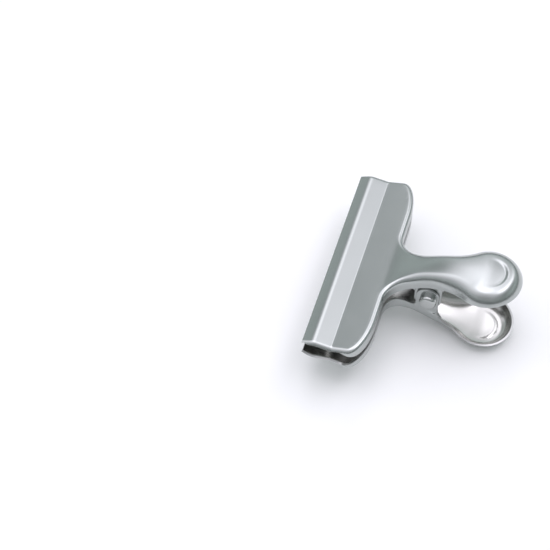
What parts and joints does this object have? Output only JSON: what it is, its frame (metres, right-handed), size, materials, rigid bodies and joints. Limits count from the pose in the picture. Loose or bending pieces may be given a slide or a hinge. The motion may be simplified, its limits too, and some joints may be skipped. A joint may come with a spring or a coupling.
{
  "type": "bag clip",
  "caption": "Sprung sheet-metal bag clip with a wide ridged crossbar on each jaw, dished rounded handles and a riveted hinge.",
  "frame": {"origin": "centre of the whole clip at rest, halfway between the two jaws and halfway across them; the hinge axis crosses X at +3.1 mm", "axes": "+X along the stem towards the handles, +Y along the hinge axis and the gripping edges, +Z from the lower jaw to the upper jaw"},
  "size_m": [0.0658, 0.076, 0.0344],
  "materials": {
    "pressed_steel": "satin outside, polished inside",
    "rivet_steel": "satin",
    "spring_wire": "drawn wire"
  },
  "bodies": {
    "lower": {"lower_jaw": "pressed_steel", "hinge_rivet": "rivet_steel", "torsion_spring": "spring_wire"},
    "upper": {"upper_jaw": "pressed_steel"}
  },
  "joints": [
    {"name": "jaw_hinge", "type": "hinge", "parent": "lower", "child": "upper", "pos_m": [0.0031, 0, 0], "axis": [0, 1, 0], "range_deg": [-6.9, 40], "stiffness_Nm_per_rad": 0.26, "springref_deg": -60.16, "deforming": ["torsion_spring"]}
  ]
}
